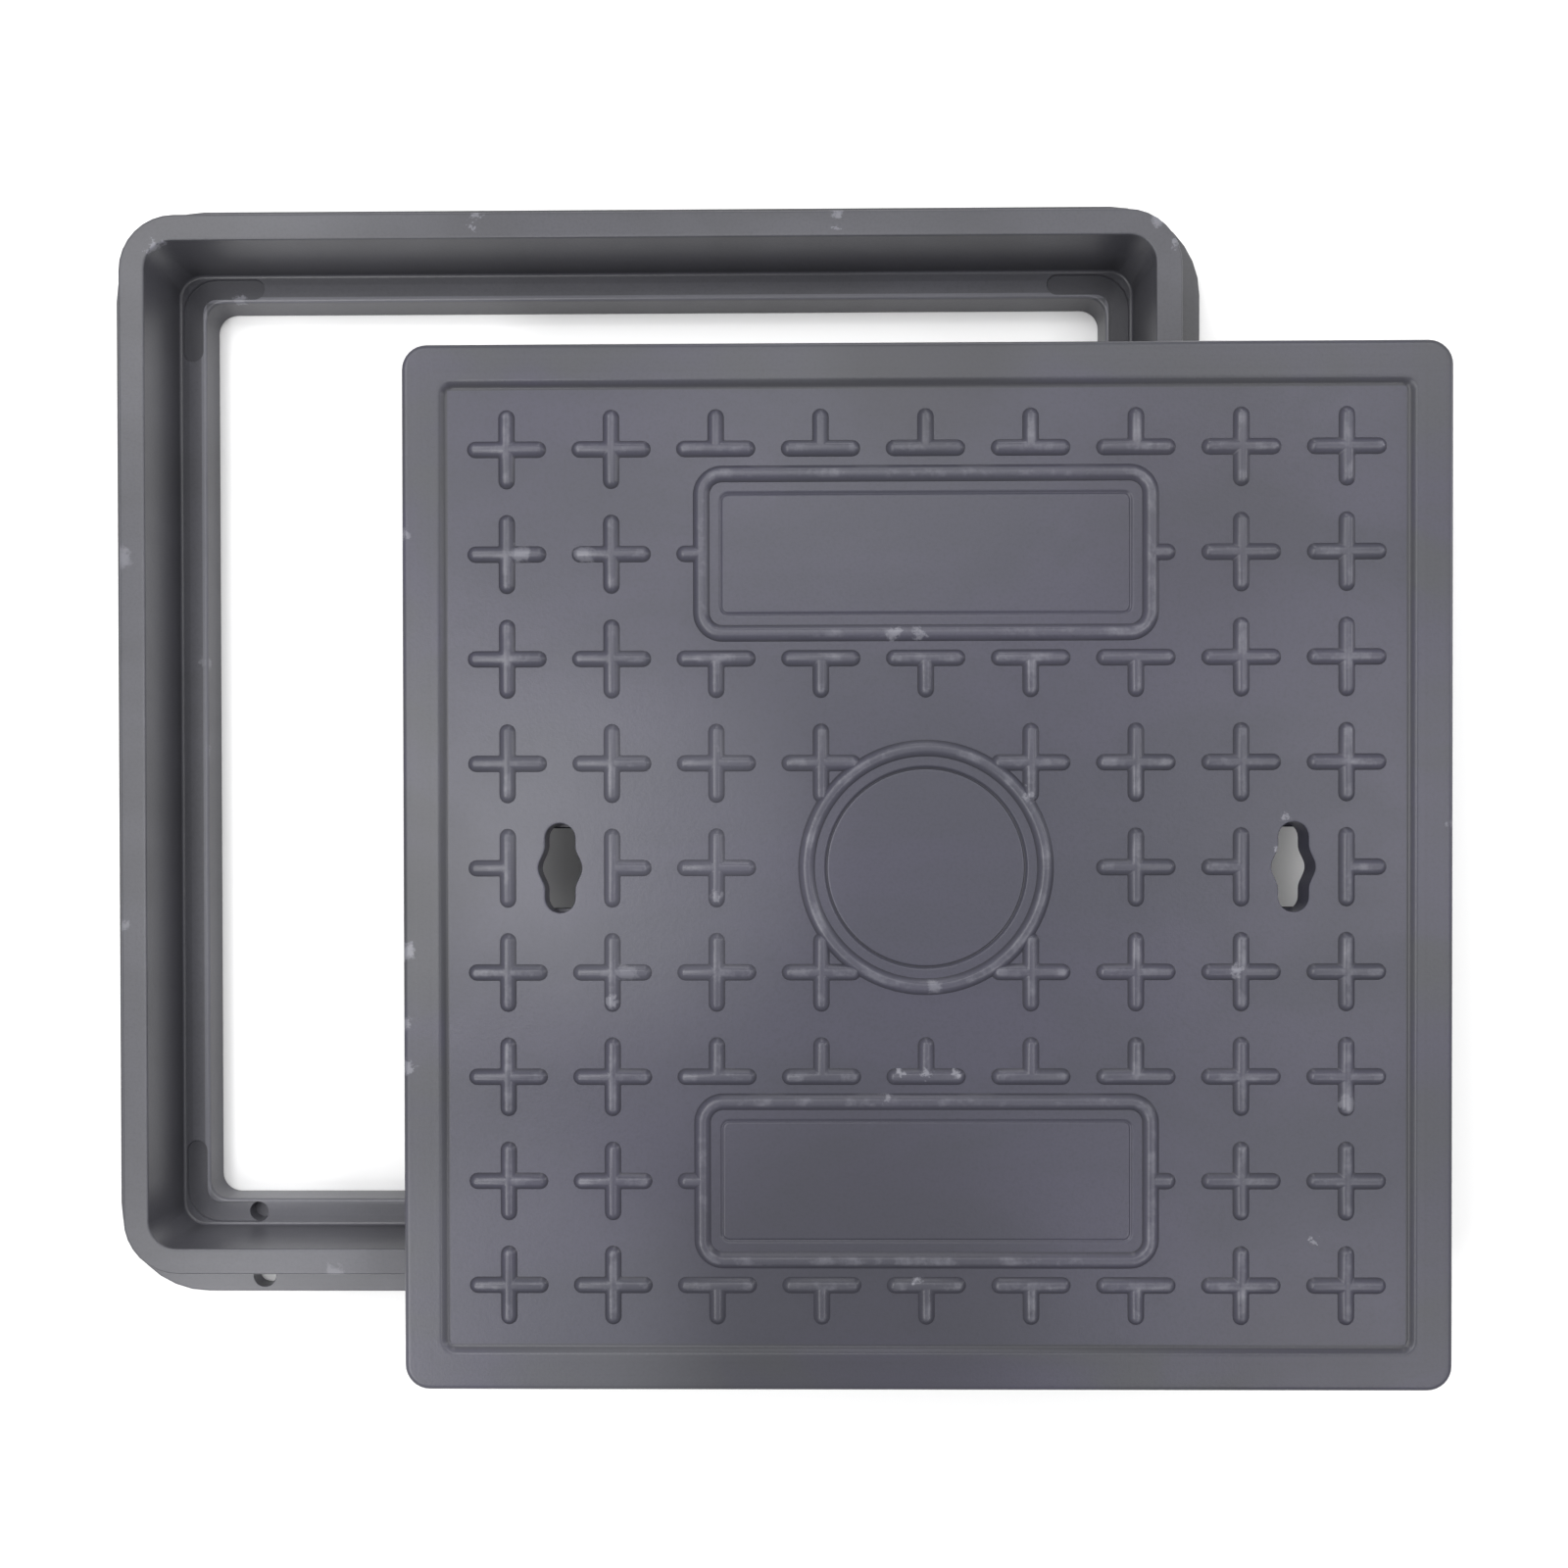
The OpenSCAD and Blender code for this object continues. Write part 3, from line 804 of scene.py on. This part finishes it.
def add(tree, kind, inputs, **settings):
    """Adds a shader node and sets its properties and sockets. A socket takes a value, a node, which links
    it to the first output that the node has in use, or a node with the name of an output."""
    node = tree.nodes.new("ShaderNode" + kind)
    for name, value in settings.items():
        setattr(node, name, value)
    for name, value in inputs.items():
        if isinstance(value, bpy.types.Node):
            value = (value, next(output.name for output in value.outputs if output.enabled))
        if isinstance(value, tuple) and isinstance(value[0], bpy.types.Node):
            tree.links.new(value[0].outputs[value[1]], node.inputs[name])
        else:
            node.inputs[name].default_value = value
    return node


def middle(node):
    """Middle of a node's box from above, at the height of its foot."""
    low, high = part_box(node)
    return ((low.x + high.x) / 2, (low.y + high.y) / 2, low.z)


def coordinates(tree, node, seed):
    """What the patterns follow, as nodes: the place moved by a seed; the distances from the middle of the
    node's foot along x, y and z, as parts; square, the larger of those along x and y, which is even along
    each edge; and ragged, the place from that middle, pushed about by a noise."""
    coords = add(tree, "TexCoord", {})
    place = add(tree, "Mapping", {"Vector": (coords, "Object"), "Location": (seed, seed * 0.7, 0.0)})
    centred = add(tree, "VectorMath", {0: (coords, "Object"), 1: middle(node)}, operation="SUBTRACT")
    sides = add(tree, "VectorMath", {0: centred}, operation="ABSOLUTE")
    parts = add(tree, "SeparateXYZ", {"Vector": sides})
    square = add(tree, "Math", {0: (parts, "X"), 1: (parts, "Y")}, operation="MAXIMUM")
    noise = add(tree, "TexNoise", {
        "Vector": place, "Scale": RAGGED_GRAINS, "Detail": 3.0, "Roughness": 0.7})
    push = add(tree, "VectorMath", {0: (noise, "Color"), "Scale": RAGGED * MM}, operation="SCALE")
    ragged = add(tree, "VectorMath", {0: centred, 1: push}, operation="ADD")
    return SimpleNamespace(place=place, parts=parts, square=square, ragged=ragged)


def spots(tree, at, places):
    """Masks of ragged spots that are full within a core and fade to their radius."""
    core = 0.4
    masks = []
    for x, y, z, radius, strength in places:
        centre = tuple((v + RAGGED / 2) * MM for v in (x, y, z))
        distance = add(tree, "VectorMath", {0: at.ragged, 1: centre}, operation="DISTANCE")
        masks.append(add(tree, "MapRange", {
            "Value": distance, "From Min": radius * MM, "From Max": radius * core * MM,
            "To Max": strength}, interpolation_type="SMOOTHSTEP"))
    return masks


def zones(tree, at, places):
    """Masks of zones round the middle, each the product of four ramps: two over the height and two over
    the distance from the middle."""
    rise, fade = 0.2, 0.3
    masks = []
    for full_from, full_to, gone, inner, outer, strength in places:
        z = (at.parts, "Z")
        ramps = ((z, full_from, full_from + rise, 1.0), (z, gone, full_to, strength),
                 (at.square, inner, inner + fade, 1.0), (at.square, outer, outer - fade, 1.0))
        mask = None
        for value, start, end, most in ramps:
            ramp = add(tree, "MapRange", {
                "Value": value, "From Min": start * MM, "From Max": end * MM, "To Max": most})
            mask = add(tree, "Math", {0: mask, 1: ramp}, operation="MULTIPLY") if mask else ramp
        masks.append(mask)
    return masks


def strongest(tree, masks):
    """The largest of several masks at each point."""
    found = masks[0]
    for mask in masks[1:]:
        found = add(tree, "Math", {0: found, 1: mask}, operation="MAXIMUM")
    return found


def moulded_resin(name, tones, node, seed, polish=0.0, nicks_and_highlights=(), painted_shade_spots=(), painted_shade_zones=(), painted_highlight_zones=()):
    """Glass-filled polyester moulding compound, pressed in a polished mould and left as it came out: satin
    grey with broad flow marks, faint lines along the outer strip, a fine sandy grain, painted shade on
    broad patches and in its low places, paler burnished places on the highest edges, a few pale nicks, and
    painted highlights on broad patches and along an edge."""
    material = bpy.data.materials.new(name)
    material.use_nodes = True
    tree = material.node_tree
    tree.nodes.clear()
    light, dark, plain_grey, polish_and_highlight, dirt_and_shade = [[*tone, 1.0] for tone in tones]
    low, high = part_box(node)
    at = coordinates(tree, node, seed)

    # Broad flow marks
    stretched = add(tree, "Mapping", {"Vector": at.place, "Scale": FLOW})
    flow = add(tree, "TexNoise", {
        "Vector": stretched, "Scale": 1.0, "Detail": 3.0, "Roughness": 0.55, "Distortion": 0.6})
    darker = add(tree, "MapRange", {
        "Value": flow, "From Min": 0.35, "From Max": 0.65}, interpolation_type="SMOOTHSTEP")

    # The outer strip is plainer grey, with faint lines along it
    strip_start = (high.x - low.x) / 2 - STRIP * MM
    strip = add(tree, "MapRange", {
        "Value": at.square, "From Min": strip_start, "From Max": strip_start + 2 * MM, "To Max": 0.55})
    plainer = add(tree, "Math", {0: strip, 1: darker}, operation="MULTIPLY")
    across = add(tree, "Math", {0: at.square, 1: (at.parts, "Z")}, operation="ADD")
    lines = add(tree, "TexNoise", {
        "W": across, "Scale": STRIP_LINES, "Detail": 1.0}, noise_dimensions="1D")
    line = add(tree, "MapRange", {"Value": lines, "From Min": 0.4, "From Max": 0.75, "To Max": 0.2})
    lined = add(tree, "Math", {0: line, 1: strip}, operation="MULTIPLY")

    # Sandy grain, and painted shade on broad patches and in the low places
    grain = add(tree, "TexNoise", {
        "Vector": at.place, "Scale": GRAINS, "Detail": 2.0, "Roughness": 0.6})
    grained = add(tree, "MapRange", {"Value": grain, "From Min": 0.45, "From Max": 0.75, "To Max": 0.22})
    painted_shade = strongest(tree, [*spots(tree, at, painted_shade_spots), *zones(tree, at, painted_shade_zones)])

    # Wear and painted highlights: burnished streaks near the highest level, nicks together with broad
    # painted highlights, and a painted highlight along edges
    highest = high.z - low.z
    top = add(tree, "MapRange", {
        "Value": (at.parts, "Z"), "From Min": highest - 0.9 * MM, "From Max": highest - 0.1 * MM})
    streak = add(tree, "TexNoise", {
        "Vector": at.place, "Scale": STREAKS, "Detail": 4.0, "Roughness": 0.65})
    streaked = add(tree, "MapRange", {
        "Value": streak, "From Min": 0.5, "From Max": 0.72, "To Min": polish * 0.1, "To Max": polish})
    burnished = add(tree, "Math", {0: top, 1: streaked}, operation="MULTIPLY")
    wear_and_highlight = strongest(tree, [burnished, *spots(tree, at, nicks_and_highlights), *zones(tree, at, painted_highlight_zones)])

    # Each layer of colour lies over the one before
    colour = light
    for mask, tone in ((darker, dark), (plainer, plain_grey), (lined, dirt_and_shade), (grained, dirt_and_shade),
                       (painted_shade, dirt_and_shade), (wear_and_highlight, polish_and_highlight)):
        colour = add(tree, "Mix", {"Factor": mask, "A": colour, "B": tone}, data_type="RGBA")

    # Satin sheen that varies with the flow and is smoother where it is burnished
    rough = add(tree, "MapRange", {"Value": flow, "To Min": 0.29, "To Max": 0.39})
    smoother = add(tree, "Math", {0: wear_and_highlight, 1: -0.1}, operation="MULTIPLY")
    roughness = add(tree, "Math", {0: rough, 1: smoother}, operation="ADD")

    # Slight waves and grain as bump, 0.3 and 0.2 mm high before their strength
    wave = add(tree, "TexNoise", {
        "Vector": at.place, "Scale": WAVES, "Detail": 2.0, "Roughness": 0.5})
    wavy = add(tree, "Bump", {"Height": wave, "Strength": 0.35, "Distance": 0.3 * MM})
    bumpy = add(tree, "Bump", {"Height": grain, "Normal": wavy, "Strength": 0.25, "Distance": 0.2 * MM})
    shader = add(tree, "BsdfPrincipled", {
        "Base Color": colour, "Roughness": roughness, "Normal": bumpy, "IOR": 1.5,
        "Specular IOR Level": 0.375})
    add(tree, "OutputMaterial", {"Surface": shader})
    return material


def fit(piece, material, node=None):
    """Gives a piece its finish, its body and the node that it stands for."""
    piece.data.materials.append(material)
    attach(piece, BODY)
    if node:
        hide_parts(node)


class BuildCover(bpy.types.Operator):
    """Builds the cover with its border, pattern, key slots and ribs"""
    bl_idname = "inspection_cover.build_cover"
    bl_label = "Build the cover"

    def execute(self, context):
        s = mm(context.scene.cover_sizes)
        c = context.scene.finishes
        place = middle("cover")
        tones = (c.cover, c.cover_dark, c.cover_edge, c.polish_and_highlight, c.dirt_and_shade)
        resin = moulded_resin(
            "cover_moulded_resin", tones, "cover", seed=3.0,
            nicks_and_highlights=COVER_NICKS_AND_HIGHLIGHTS, painted_shade_spots=COVER_PAINTED_SHADE, painted_shade_zones=COVER_CREVICE_SHADE)
        bars = moulded_resin(
            "cover_polished_resin", tones, "cover", seed=3.0, polish=0.5,
            nicks_and_highlights=BAR_NICKS_AND_HIGHLIGHTS, painted_shade_spots=COVER_PAINTED_SHADE, painted_shade_zones=BAR_FOOT_SHADE)
        fit(cover_body(s).piece("cover_moulding", place), resin, "cover")
        fit(crosses(s).piece("cover_crosses", place), bars)
        fit(beads(s).piece("cover_beads", place), bars)
        return {"FINISHED"}


class BuildFrame(bpy.types.Operator):
    """Builds the frame with its rim, ledge, holes and flange"""
    bl_idname = "inspection_cover.build_frame"
    bl_label = "Build the frame"

    def execute(self, context):
        s = mm(context.scene.frame_sizes)
        c = context.scene.finishes
        place = middle("frame")
        tones = (c.frame, c.frame_dark, c.frame_edge, c.polish_and_highlight, c.dirt_and_shade)
        resin = moulded_resin(
            "frame_moulded_resin", tones, "frame", seed=11.0,
            nicks_and_highlights=FRAME_NICKS_AND_HIGHLIGHTS, painted_shade_zones=FRAME_CREVICE_SHADE, painted_highlight_zones=FRAME_EDGE_HIGHLIGHT)
        fit(frame_body(s).piece("frame_moulding", place), resin, "frame")
        return {"FINISHED"}


FLOOR_REACH = 40000  # from the middle to the floor's edges, in mm
FLOOR_BELOW = 0.5  # how far the floor is below the ground, so that no faces coincide, in mm
LAMP_SIDE = 0.6  # side of each softbox, in m

# Place in m and power in watts: a ring of high softboxes, and two low ones at the right and the back
LAMPS = (
    ("softbox_left", (-0.55, 0.0, 1.6), 8.9),
    ("softbox_far_left", (-1.3, 0.0, 1.6), 3.6),
    ("softbox_front_left", (-0.9, -0.9, 1.6), 9.9),
    ("softbox_back_left", (-0.9, 0.9, 1.6), 8.8),
    ("softbox_right", (1.0, 0.0, 1.6), 4.6),
    ("softbox_front_right", (0.95, -0.9, 1.6), 4.8),
    ("softbox_back_right", (0.95, 0.9, 1.6), 4.9),
    ("softbox_back", (0.1, 0.65, 1.6), 4.8),
    ("softbox_low_right", (1.8, 0.4, 0.7), 5.2),
    ("softbox_low_back", (0.2, 1.8, 0.7), 5.0),
)


class BuildStage(bpy.types.Operator):
    """Builds the floor, the lights and the camera"""
    bl_idname = "inspection_cover.build_stage"
    bl_label = "Build the stage"

    def execute(self, context):
        s = context.scene.stage_sizes
        paper = bpy.data.materials.new("stage_paper")
        paper.use_nodes = True
        shader = paper.node_tree.nodes["Principled BSDF"]
        shader.inputs["Base Color"].default_value = [*s.floor, 1.0]
        shader.inputs["Roughness"].default_value = 0.9
        skin = Skin()
        skin.cap(at_height(round_rect(FLOOR_REACH, FLOOR_REACH, 10, steps=2), -FLOOR_BELOW))
        floor = skin.piece("stage_floor", (0.0, 0.0, 0.0))
        floor.data.materials.append(paper)

        for name, place, power in LAMPS:
            data = bpy.data.lights.new(name, "AREA")
            data.shape = "SQUARE"
            data.size = LAMP_SIDE
            data.energy = power
            lamp = bpy.data.objects.new(name, data)
            lamp.location = place
            lamp.rotation_euler = (-Vector(place)).to_track_quat("-Z", "Y").to_euler()
            context.scene.collection.objects.link(lamp)
        world = bpy.data.worlds.new("studio")
        world.use_nodes = True
        sky = world.node_tree.nodes["Background"]
        sky.inputs["Color"].default_value = (1.0, 1.0, 1.0, 1.0)
        sky.inputs["Strength"].default_value = 0.4
        context.scene.world = world

        data = bpy.data.cameras.new("camera")
        data.sensor_width = 36.0
        data.lens = s.focal
        data.shift_x, data.shift_y = s.shift
        data.clip_end = 100.0
        camera = bpy.data.objects.new("camera", data)
        camera.location = (s.lens_x, s.lens_y, s.lens_height)
        camera.rotation_euler = s.tilt
        context.scene.collection.objects.link(camera)
        context.scene.camera = camera
        context.scene.view_settings.view_transform = "Standard"
        return {"FINISHED"}


class CoverPanel(bpy.types.Panel):
    """Lists the steps that build the inspection cover"""
    bl_idname = "VIEW3D_PT_inspection_cover"
    bl_label = "Inspection cover"
    bl_space_type = "VIEW_3D"
    bl_region_type = "UI"
    bl_category = "Inspection cover"

    def draw(self, context):
        for step_class in STEPS:
            self.layout.operator(step_class.bl_idname)


GROUPS = {
    "cover_sizes": CoverSizes,
    "frame_sizes": FrameSizes,
    "finishes": Finishes,
    "stage_sizes": StageSizes,
}
STEPS = (BuildFrame, BuildCover, BuildStage)


def register():
    """Registers the classes and hangs the sizes on the scene."""
    for item in (*GROUPS.values(), *STEPS, CoverPanel):
        bpy.utils.register_class(item)
    for name, group in GROUPS.items():
        setattr(bpy.types.Scene, name, bpy.props.PointerProperty(type=group))


def unregister():
    """Takes the sizes and the classes away again."""
    for name in GROUPS:
        delattr(bpy.types.Scene, name)
    for item in reversed((*GROUPS.values(), *STEPS, CoverPanel)):
        bpy.utils.unregister_class(item)


def main():
    """Builds everything in order."""
    register()
    bpy.ops.inspection_cover.build_frame()
    bpy.ops.inspection_cover.build_cover()
    bpy.ops.inspection_cover.build_stage()


if __name__ == "__main__":
    main()
